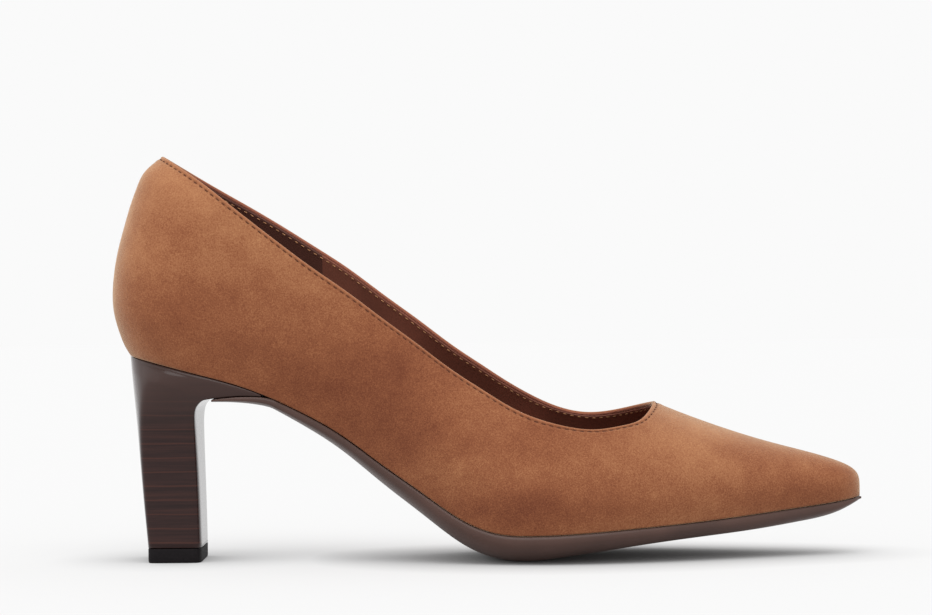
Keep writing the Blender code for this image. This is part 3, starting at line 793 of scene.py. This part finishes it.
def make_stitches(name, wall, depth, offset, length, material):
    """Row of short thread stitches along the topline, as one joined mesh of capsules."""
    ring = wall.ring(depth, offset)
    outward = wall.ring(depth, offset + MM) - ring
    if offset < -SUEDE:
        ring = lapped(ring)
    loop = np.concatenate([ring, ring[:1]])
    outward = np.concatenate([outward, outward[:1]])
    step = length / STITCH_PITCH / 2
    points, faces = [], []
    for number in range(wall.stitches):
        spot, before, after = (
            points_at(place % wall.stitches, wall.turns, loop)
            for place in (number, number - step, number + step)
        )
        run, out = unit(after - before), unit(points_at(number, wall.turns, outward))
        cross = unit(np.cross(run, out))
        start = len(points)
        for share, girth in STITCH_PROFILE:
            for k in range(STITCH_SIDES):
                turn = 2 * math.pi * k / STITCH_SIDES
                around = math.cos(turn) * cross + STITCH_FLATTENED * math.sin(turn) * out
                points.append(spot + run * share * length + THREAD_RADIUS * girth * around)
        for quad in ring_faces(len(STITCH_PROFILE), STITCH_SIDES, True):
            faces.append(tuple(start + corner for corner in quad))
        for first in (start, len(points) - STITCH_SIDES):
            faces.append(tuple(range(first, first + STITCH_SIDES)))
    return mesh_object(name, points, faces, material)


def stations(start, end, crowding):
    """Places along the shoe, even with no crowding and closer together at both ends with more."""
    t = np.linspace(0, 1, SOLE_STATIONS)
    eased = (1 - np.cos(t * math.pi)) / 2
    return start + (end - start) * (t + (eased - t) * crowding)


def inset_outline(side, inset):
    """Half of the feather edge's outline moved in: places along the shoe and half widths."""
    turn = np.linspace(0, math.pi, 8 * DENSE)
    x = SEAT_BACK + SHOE_LENGTH * (1 - np.cos(turn)) / 2
    y = outline(x, side)
    run, rise = np.gradient(x), np.gradient(y)
    size = np.hypot(run, rise)
    return x + inset * rise / size, y - inset * run / size


def make_sock(material):
    """Sock on its board, with a softly rounded edge that meets the lining."""
    inset = UPPER_WALL - SOCK_TUCK
    rest = UPPER_WALL + GAP
    outlines = {side: inset_outline(side, inset) for side in (OUTER, INNER)}
    rear = max(outlines[side][0][0] for side in outlines)
    front = min(outlines[side][0][-1] for side in outlines)
    across = np.sin(np.linspace(1, -1, SOCK_ACROSS) * math.pi / 2)
    rings = []
    for x in stations(rear + SOCK_END, front - SOCK_END, crowding=1.0):
        halves = {side: float(np.interp(x, *outlines[side])) for side in outlines}
        ys = [centre_line(x) + share * halves[INNER if share > 0 else OUTER] for share in across]
        soft = INSOLE_DEPTH - SOCK_SOFT * np.abs(across) ** SOCK_SOFT_POWER
        ring = [(x, y, off_bottom(x, y, rest + high)) for y, high in zip(ys, soft)]
        ring += [(x, y, off_bottom(x, y, rest)) for y in ys[::-1]]
        rings.append(np.array(ring))
    sock = loft("sock", rings, material)
    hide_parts("insole")
    return sock


def wedge_depth(x):
    """Depth of the heel's front wedge with its gaps, between the upper and the sole."""
    back = np.maximum(WEDGE_REACH - x, 0)
    return WEDGE_SLOPE * back ** 2 / (back + WEDGE_EASE)


def wedge_underside(x):
    return feather_height(x) - wedge_depth(x)


def wedge_spread(x):
    """Share of the way from the tip's outline to the seat's, along the wedge's underside."""
    back = np.clip(WEDGE_FRONT - x, 0, None) / (WEDGE_FRONT - WEDGE_START)
    return 1 - WEDGE_TUCK * back ** WEDGE_TUCK_POWER


def sole_width(x, side):
    """Half width of the sole's top edge, which follows the wedge in under the heel."""
    corner = tip_half(INNER, TIP_LENGTH, TIP_WIDTH)[HEEL_STEPS[0], 1]
    spread = wedge_spread(x)
    return corner + (outline(x, side) - corner) * spread + SOLE_LIP * (x > WEDGE_REACH)


def make_outsole(material):
    """Thin sole, its side curving in from a short upright edge to a convex underside."""
    rings = []
    for x in stations(WEDGE_START + 3 * GAP, TOE_TIP + SOLE_LIP, crowding=0.5):
        inside = min(x, TOE_TIP - GAP)
        halves = {side: sole_width(inside, side) for side in (OUTER, INNER)}
        drop = wedge_depth(x)
        depth = SOLE_DEPTH * sole_profile(along(x))
        edge = min(SOLE_EDGE, EDGE_LIMIT * depth)
        rim = off_bottom(inside, centre_line(x) + halves[INNER], -GAP) - drop
        ring = []
        for share in np.linspace(1, -1, SOLE_ACROSS):
            y = centre_line(x) + share * halves[INNER if share > 0 else OUTER]
            ring.append((x, y, off_bottom(inside, y, -GAP) - drop))
        for turn in np.linspace(math.pi, 0, SOLE_UNDER):
            out = math.cos(turn)
            lateral = abs(out) ** (2 / SOLE_POWER) * halves[INNER if out > 0 else OUTER]
            y = centre_line(x) + math.copysign(lateral, out)
            z = rim - edge - (depth - edge) * abs(math.sin(turn)) ** (2 / SOLE_POWER)
            ring.append((x, y, max(z, 0.0)))
        rings.append(np.array(ring))
    sole = loft("sole", rings, material)
    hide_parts("outsole")
    return sole


def half_loop(points, corners):
    """Resamples half an outline in stretches: its front, its side and its back."""
    ends = (0, *corners, len(points) - 1)
    loop = [points[:1]]
    for start, end, steps in zip(ends, ends[1:], HEEL_STEPS):
        loop.append(resample(points[start:end + 1], np.linspace(0, 1, steps + 1))[1:])
    return np.concatenate(loop)


def tip_half(side, size_x, size_y):
    """Half of the tip's outline, a rectangle with round corners, from its front to its back."""
    turn = np.linspace(0, math.pi, 2 * DENSE + 1)
    x = size_x / 2 * np.sign(np.cos(turn)) * np.abs(np.cos(turn)) ** (2 / TIP_POWER)
    y = side * size_y / 2 * np.clip(np.sin(turn), 0, 1) ** (2 / TIP_POWER)
    return half_loop(np.stack([x, y], axis=-1), (DENSE // 2, 3 * DENSE // 2))


def seat_half(side, front):
    """Half of the seat's outline, from the middle of the wedge's front edge to the back."""
    edge = np.linspace(0, 1, DENSE + 1)
    x = SEAT_BACK + (front - SEAT_BACK) * (1 - np.sin(edge * math.pi / 2))
    side_line = np.stack([x, centre_line(x) + side * outline(x, side)], axis=-1)
    line = np.concatenate([[[front, 0.0]], side_line])
    return half_loop(line, (1, 1 + DENSE // 2))


def joined(halves):
    """Ring of an outer and an inner half, which share their first and last points."""
    return np.concatenate([halves[0], halves[1][-2:0:-1]])


def heel_levels():
    """Front place, front height, back share and spread of each level, from the tip to the seat."""
    base = LIFT_DEPTH + GAP
    breast_top = wedge_underside(WEDGE_START)
    levels = []
    for back_share, front_share, hollow, spread in HEEL_LEVELS:
        levels.append((BREAST_FRONT - BREAST_HOLLOW * hollow, base + (breast_top - base) * front_share,
                       back_share, spread))
    fillet_x, fillet_z = levels[-1][:2]
    for turn, back_share, spread in FILLET_LEVELS:
        angle = math.radians(turn)
        x = fillet_x + (WEDGE_START - fillet_x) * (1 - math.cos(angle))
        z = fillet_z + (breast_top - fillet_z) * math.sin(angle)
        levels.append((x, z, back_share, spread))
    for step, back_share in WEDGE_LEVELS:
        x = WEDGE_START + (WEDGE_FRONT - WEDGE_START) * step
        levels.append((x, wedge_underside(x), back_share, wedge_spread(x)))
    return levels


def make_heel(material):
    """Block heel through smooth levels from its tip to the seat and the front wedge."""
    base = LIFT_DEPTH + GAP
    back_top = off_bottom(SEAT_BACK, centre_line(SEAT_BACK), -GAP)
    rows = [(number, *level) for number, level in enumerate(heel_levels())]
    curves = [spline(rows, column) for column in range(1, 5)]
    steps = np.linspace(0, len(rows) - 1, HEEL_RINGS)
    levels = [tuple(float(curve(step)) for curve in curves) for step in steps]
    levels.append((WEDGE_FRONT, off_bottom(WEDGE_FRONT, centre_line(WEDGE_FRONT), -GAP), 1.0, 1.0))
    tips = {side: tip_half(side, TIP_LENGTH, TIP_WIDTH) for side in (OUTER, INNER)}
    seats = {side: seat_half(side, WEDGE_FRONT) for side in (OUTER, INNER)}
    rings = []
    for x_front, z_front, back_share, spread in levels:
        x_back = -TIP_LENGTH / 2 + (SEAT_BACK + TIP_LENGTH / 2) * back_share
        z_back = base + (back_top - base) * back_share
        halves = []
        for side in (OUTER, INNER):
            tip, seat = tips[side], seats[side]
            tip_forward = (tip[:, 0] - tip[-1, 0]) / (tip[0, 0] - tip[-1, 0])
            seat_forward = (seat[:, 0] - seat[-1, 0]) / (seat[0, 0] - seat[-1, 0])
            forward = tip_forward + (seat_forward - tip_forward) * spread
            x = x_back + (x_front - x_back) * forward
            y = tip[:, 1] + (seat[:, 1] - tip[:, 1]) * spread
            z = z_back + (z_front - z_back) * forward
            if back_share == 1.0:
                z = off_bottom(x, y, -GAP)
            halves.append(np.stack([x, y, z], axis=-1))
        rings.append(joined(halves))
    heel = loft("stacked_heel", rings, material)
    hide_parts("heel")
    return heel


def make_top_lift(material):
    """Wear piece with a small round along its lower and upper edges."""
    rings = []
    for z, shrink in LIFT_LEVELS:
        halves = [tip_half(side, TIP_LENGTH - shrink, TIP_WIDTH - shrink) for side in (OUTER, INNER)]
        flat = joined(halves)
        rings.append(np.column_stack([flat, np.full(len(flat), z)]))
    lift = loft("wear_piece", rings, material)
    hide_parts("top_lift")
    return lift


def feed(tree, socket, value):
    """Links another node's output to a socket, or sets the socket to a number or a colour."""
    if isinstance(value, bpy.types.NodeSocket):
        tree.links.new(value, socket)
    else:
        socket.default_value = (*value, 1.0) if socket.type == "RGBA" else value


class Nodes:
    """Short way to add and link shader nodes."""

    def __init__(self, name):
        self.material = bpy.data.materials.new(name)
        self.material.use_nodes = True
        self.tree = self.material.node_tree
        self.surface = self.tree.nodes["Principled BSDF"]
        self.place = self.tree.nodes.new("ShaderNodeTexCoord").outputs["Object"]

    def add(self, kind, **inputs):
        node = self.tree.nodes.new(kind)
        for key, value in inputs.items():
            feed(self.tree, node.inputs[key.replace("_", " ")], value)
        return node

    def noise(self, scale, detail, roughness, vector=None):
        node = self.add("ShaderNodeTexNoise", Scale=scale, Detail=detail, Roughness=roughness,
                        Vector=vector or self.place)
        return node.outputs["Fac"]

    def stretched(self, scale):
        return self.add("ShaderNodeMapping", Scale=scale, Vector=self.place).outputs["Vector"]

    def math(self, operation, a, b=0.0, c=0.0):
        node = self.tree.nodes.new("ShaderNodeMath")
        node.operation = operation
        for socket, value in zip(node.inputs, (a, b, c)):
            feed(self.tree, socket, value)
        return node.outputs[0]

    def bell(self, value, middle, width):
        """1 at the middle, falling off to both sides."""
        off = self.math("DIVIDE", self.math("SUBTRACT", value, middle), width)
        return self.math("EXPONENT", self.math("MULTIPLY", self.math("MULTIPLY", off, off), -1.0))

    def split(self, vector):
        return self.add("ShaderNodeSeparateXYZ", Vector=vector).outputs

    def topline(self):
        """Place along the topline in stitches, and depth below it in millimetres."""
        node = self.tree.nodes.new("ShaderNodeUVMap")
        node.uv_map = TOPLINE_MAP
        return self.split(node.outputs["UV"])[:2]

    def ramp(self, factor, stops):
        node = self.add("ShaderNodeValToRGB", Fac=factor)
        while len(node.color_ramp.elements) < len(stops):
            node.color_ramp.elements.new(0.5)
        for element, (at, colour) in zip(node.color_ramp.elements, stops):
            element.position = at
            element.color = (*colour, 1.0)
        return node.outputs["Color"]

    def mix(self, factor, a, b):
        node = self.tree.nodes.new("ShaderNodeMix")
        node.data_type = "RGBA"
        factor_in = next(socket for socket in node.inputs if socket.identifier == "Factor_Float")
        colours_in = [socket for socket in node.inputs if socket.type == "RGBA"]
        for socket, value in zip((factor_in, *colours_in), (factor, a, b)):
            feed(self.tree, socket, value)
        return next(socket for socket in node.outputs if socket.type == "RGBA")

    def bump(self, height, strength, distance, normal=None):
        node = self.add("ShaderNodeBump", Height=height, Strength=strength, Distance=distance)
        if normal is not None:
            feed(self.tree, node.inputs["Normal"], normal)
        return node.outputs["Normal"]

    def finish(self, **inputs):
        for key, value in inputs.items():
            feed(self.tree, self.surface.inputs[key.replace("_", " ")], value)
        return self.material


def linear(red, green, blue):
    """Linear colour of a screen colour."""
    def channel(value):
        value /= 255
        return value / 12.92 if value <= 0.04045 else ((value + 0.055) / 1.055) ** 2.4
    return channel(red), channel(green), channel(blue)


SUEDE_TONES = (
    (0.36, linear(108, 60, 41)),
    (0.50, linear(135, 82, 55)),
    (0.62, linear(158, 106, 73)),
    (0.74, linear(176, 126, 88)),
)
# Patches of painted light and shade on the suede, lighter on the vamp's top and at the back, darker
# lower on the sides: place along the shoe, height and reach both ways in millimetres, and the shift of
# tone
PAINTED_LIGHT_AND_SHADE = (
    (168, 39, 32, 13, 0.12),
    (190, 36, 15, 4, -0.05),
    (214, 31, 12, 6, 0.05),
    (132, 36, 18, 8, 0.01),
    (116, 18, 28, 7, -0.12),
    (170, 19, 30, 4, -0.03),
    (84, 46, 22, 9, -0.05),
    (60, 63, 38, 12, -0.10),
    (18, 96, 13, 8, 0.05),
    (2, 122, 14, 9, 0.05),
    (-12, 108, 12, 34, 0.05),
)
# Painted highlight: a lighter band of the suede below the topline.
QUARTER_HIGHLIGHT_BAND = (8 * MM, 58 * MM)  # middle and reach of the lighter band below the topline
# Painted highlight along the folded edge, partly wear.
EDGE_WEAR_AND_HIGHLIGHT_COLOUR = linear(160, 104, 74)
FOLD_COLOUR = linear(150, 92, 74)  # the suede that comes down inside the topline
# Painted shade in the groove at each stitch.
GROOVE_SHADE_COLOUR = linear(84, 46, 31)
SHEEN_TINT = (1.0, 0.80, 0.58)
LINING_COLOUR = linear(118, 70, 55)
BACK_LINING_COLOUR = linear(84, 49, 40)
SOLE_COLOUR = linear(74, 51, 44)
STACK_TONES = (
    (0.34, linear(34, 18, 17)),
    (0.50, linear(44, 25, 23)),
    (0.68, linear(56, 32, 28)),
)
STACK_LINE_COLOUR = linear(84, 46, 36)
SEAT_COLOUR = linear(60, 42, 38)
LIFT_COLOUR = linear(20, 16, 18)
THREAD_COLOUR = linear(88, 50, 34)
PALE_THREAD_COLOUR = linear(176, 128, 92)

STACK_PITCH = 4.68 * MM  # thickness of a layer
STACK_FIRST = 6.7 * MM  # height of the lowest layer line
STACK_WANDER = 0.8 * MM  # how far a layer line strays
STACK_TOP = (42 * MM, 60 * MM)  # where the layers fade into the plain seat part

BACKDROP = 0.956  # brightness of the white surroundings
FLOOR_TONE = 0.30
FLOOR_GLOW = 0.512  # the floor is a lit table, so that shadows on it stay soft
# The floor's glow is darkened by ambient occlusion near the shoe, a painted shadow.
PAINTED_SHADOW_REACH = 35 * MM  # height below which the shoe darkens the lit table
FLOOR_REACH = 6.0

# Name, direction towards the light, strength, and its width in degrees
LIGHTS = (
    ("overhead", (-0.05, -0.40, 1.0), 1.70, 50),
    ("back", (-1.0, -0.2, 0.4), 0.30, 60),
)

CAMERA_X = 96.85 * MM
CAMERA_Z = 83.4 * MM
CAMERA_DISTANCE = 1.0
VIEW_WIDTH = 311.7 * MM  # width that the frame shows at the shoe's middle plane
ROLL = -0.5  # degrees


def around(colour, low, high):
    """Stops of a ramp that runs from a darker to a lighter tone of one colour."""
    return ((0.34, tuple(low * part for part in colour)), (0.50, colour),
            (0.66, tuple(high * part for part in colour)))


def suede_material():
    """Mottled nap with patches of painted light and shade and a painted highlight below the topline,
    lighter along the folded edge from wear and a painted highlight, and drawn in at each stitch with
    painted shade in the groove.
    """
    nodes = Nodes("tan suede")
    clouds = nodes.noise(1.0, 2, 0.5, nodes.stretched((18, 18, 34)))
    patches = nodes.noise(150, 3, 0.6)
    nap = nodes.noise(2100, 3, 0.75)
    tone = 0.0
    for value, share in ((clouds, 0.32), (patches, 0.16), (nap, 0.52)):
        tone = nodes.math("MULTIPLY_ADD", value, share, tone)
    where = nodes.split(nodes.place)
    place, depth = nodes.topline()
    # Painted highlight in a band below the topline.
    quarter = nodes.bell(where[0], *QUARTER_HIGHLIGHT_BAND)
    highlight_band = nodes.math("MULTIPLY", nodes.bell(depth, 4.0, 8.0), quarter)
    tone = nodes.math("MULTIPLY_ADD", highlight_band, 0.10, tone)
    # Patches of painted light and shade.
    for x, z, reach_x, reach_z, shift in PAINTED_LIGHT_AND_SHADE:
        strip = nodes.bell(where[0], x * MM, reach_x * MM)
        painted_patch = nodes.math("MULTIPLY", strip, nodes.bell(where[2], z * MM, reach_z * MM))
        tone = nodes.math("MULTIPLY_ADD", painted_patch, shift, tone)
    colour = nodes.ramp(tone, SUEDE_TONES)
    # Lighter along the folded edge: a painted highlight, partly wear.
    colour = nodes.mix(nodes.math("MULTIPLY", nodes.bell(depth, 0.5, 0.55), 0.6), colour, EDGE_WEAR_AND_HIGHLIGHT_COLOUR)
    colour = nodes.mix(nodes.math("LESS_THAN", depth, -0.2), colour, FOLD_COLOUR)
    wave = nodes.math("COSINE", nodes.math("MULTIPLY", place, 2 * math.pi))
    groove = nodes.bell(depth, STITCH_DEPTH / MM, 0.42)
    drawn = nodes.math("MULTIPLY", groove, nodes.math("MULTIPLY_ADD", wave, 0.5, 0.5))
    # Painted shade in the groove at each stitch; the same pull draws the bump below.
    colour = nodes.mix(nodes.math("MULTIPLY", drawn, 0.5), colour, GROOVE_SHADE_COLOUR)
    normal = nodes.bump(drawn, -0.9, 0.0004)
    normal = nodes.bump(patches, 0.10, 0.001, normal)
    normal = nodes.bump(nap, 0.40, 0.0004, normal)
    normal = nodes.bump(nodes.noise(2600, 2, 0.6), 0.35, 0.0002, normal)
    return nodes.finish(Base_Color=colour, Roughness=0.95, Normal=normal, Sheen_Weight=0.75,
                        Sheen_Roughness=0.35, Sheen_Tint=SHEEN_TINT, Specular_IOR_Level=0.10)


def lining_material(name, seamed):
    """Smooth brown leather, with its darker piece behind the lining's seam if it has one."""
    nodes = Nodes(name)
    colour = nodes.ramp(nodes.noise(60, 2, 0.5), around(LINING_COLOUR, 0.85, 1.15))
    if seamed:
        behind = nodes.math("LESS_THAN", nodes.split(nodes.place)[0], SEAM_X)
        colour = nodes.mix(behind, colour, BACK_LINING_COLOUR)
    normal = nodes.bump(nodes.noise(700, 3, 0.6), 0.25, 0.0003)
    return nodes.finish(Base_Color=colour, Roughness=0.6, Normal=normal, Specular_IOR_Level=0.25)


def sole_material():
    nodes = Nodes("brown sole")
    clouds = nodes.noise(45, 3, 0.5)
    colour = nodes.ramp(clouds, around(SOLE_COLOUR, 0.85, 1.15))
    roughness = nodes.math("MULTIPLY_ADD", clouds, 0.12, 0.38)
    normal = nodes.bump(nodes.noise(1200, 2, 0.6), 0.08, 0.0002)
    return nodes.finish(Base_Color=colour, Roughness=roughness, Normal=normal, Specular_IOR_Level=0.35)


def stack_material():
    """Polished wrap with a fine line at each layer of the stack."""
    nodes = Nodes("dark stack")
    height_here = nodes.split(nodes.place)[2]
    wander = nodes.math("MULTIPLY", nodes.math("SUBTRACT", nodes.noise(60, 2, 0.5), 0.5), STACK_WANDER)
    wavy = nodes.math("ADD", height_here, wander)
    layer = nodes.math("DIVIDE", nodes.math("SUBTRACT", wavy, STACK_FIRST), STACK_PITCH)
    phase = nodes.math("SUBTRACT", nodes.math("FRACT", nodes.math("ADD", layer, 0.5)), 0.5)
    line = nodes.bell(phase, 0.0, 0.045)
    streaks = nodes.noise(1.0, 5, 0.65, nodes.stretched((25, 25, 700)))
    base = nodes.ramp(streaks, STACK_TONES)
    colour = nodes.mix(nodes.math("MULTIPLY", line, 0.45), base, STACK_LINE_COLOUR)
    low, high = STACK_TOP
    seat = nodes.add("ShaderNodeMapRange", Value=height_here, From_Min=low, From_Max=high)
    colour = nodes.mix(seat.outputs["Result"], colour, SEAT_COLOUR)
    normal = nodes.bump(line, -0.12, 0.0002)
    return nodes.finish(Base_Color=colour, Roughness=0.45, Normal=normal, Specular_IOR_Level=0.1,
                        Coat_Weight=1.0, Coat_Roughness=0.12, Coat_IOR=1.25)


def lift_material():
    nodes = Nodes("black rubber")
    grain = nodes.noise(1500, 3, 0.6)
    return nodes.finish(Base_Color=nodes.ramp(grain, around(LIFT_COLOUR, 0.8, 1.2)), Roughness=0.7,
                        Normal=nodes.bump(grain, 0.3, 0.0003), Specular_IOR_Level=0.15)


def thread_material(name, colour):
    nodes = Nodes(name)
    twist = nodes.noise(3000, 2, 0.6)
    return nodes.finish(Base_Color=nodes.ramp(twist, around(colour, 0.8, 1.1)), Roughness=0.85,
                        Normal=nodes.bump(twist, 0.3, 0.0001), Specular_IOR_Level=0.2)


def make_studio():
    """Plain pale floor and surroundings, with wide soft lights from above and from behind the heel; the
    floor glows as a lit table, and its glow is darkened near the shoe as a painted shadow.
    """
    scene = bpy.context.scene
    scene.view_settings.view_transform = "Standard"
    world = bpy.data.worlds.new("studio")
    scene.world = world
    world.use_nodes = True
    sky = world.node_tree.nodes["Background"]
    sky.inputs["Color"].default_value = (1, 1, 1, 1)
    sky.inputs["Strength"].default_value = BACKDROP

    paint = Nodes("floor paint")
    # Ambient occlusion darkens the floor's glow near the shoe: a painted shadow.
    painted_shadow = paint.add("ShaderNodeAmbientOcclusion", Distance=PAINTED_SHADOW_REACH).outputs["AO"]
    glow = paint.math("MULTIPLY", painted_shadow, FLOOR_GLOW)
    paint.finish(Base_Color=(FLOOR_TONE,) * 3, Roughness=1.0, Specular_IOR_Level=0.0,
                 Emission_Color=(1.0, 1.0, 1.0), Emission_Strength=glow)
    mesh = bpy.data.meshes.new("studio_floor")
    corners = [(x * FLOOR_REACH, y * FLOOR_REACH, 0) for x, y in ((-1, -1), (1, -1), (1, 1), (-1, 1))]
    mesh.from_pydata(corners, [], [(0, 1, 2, 3)])
    mesh.materials.append(paint.material)
    floor = bpy.data.objects.new("studio_floor", mesh)
    scene.collection.objects.link(floor)

    for name, towards, power, width in LIGHTS:
        data = bpy.data.lights.new(name, "SUN")
        data.energy = power
        data.angle = math.radians(width)
        lamp = bpy.data.objects.new(name, data)
        lamp.rotation_euler = Vector(towards).to_track_quat("Z", "Y").to_euler()
        scene.collection.objects.link(lamp)


def make_camera():
    """Camera square to the shoe's outer side."""
    data = bpy.data.cameras.new("camera")
    data.sensor_width = 36.0
    data.lens = data.sensor_width * CAMERA_DISTANCE / VIEW_WIDTH
    camera = bpy.data.objects.new("camera", data)
    turn = Matrix.Rotation(math.radians(90), 4, "X") @ Matrix.Rotation(math.radians(ROLL), 4, "Z")
    camera.matrix_world = Matrix.Translation((CAMERA_X, -CAMERA_DISTANCE, CAMERA_Z)) @ turn
    bpy.context.scene.collection.objects.link(camera)
    bpy.context.scene.camera = camera


make_studio()
make_camera()

wall = Wall()
suede = make_suede(wall, suede_material())
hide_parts("upper")
make_lining(wall, lining_material("brown lining", True))
make_sock(lining_material("brown sock", False))
make_outsole(sole_material())
make_heel(stack_material())
make_top_lift(lift_material())
dark_thread = thread_material("dark thread", THREAD_COLOUR)
pale_thread = thread_material("pale thread", PALE_THREAD_COLOUR)
make_stitches("topline_stitches", wall, STITCH_DEPTH, STITCH_OFFSET, STITCH_LENGTH,
                      dark_thread)
make_stitches("lining_stitches", wall, LINING_STITCH_DEPTH, LINING_STITCH_OFFSET,
                      LINING_STITCH_LENGTH, pale_thread)
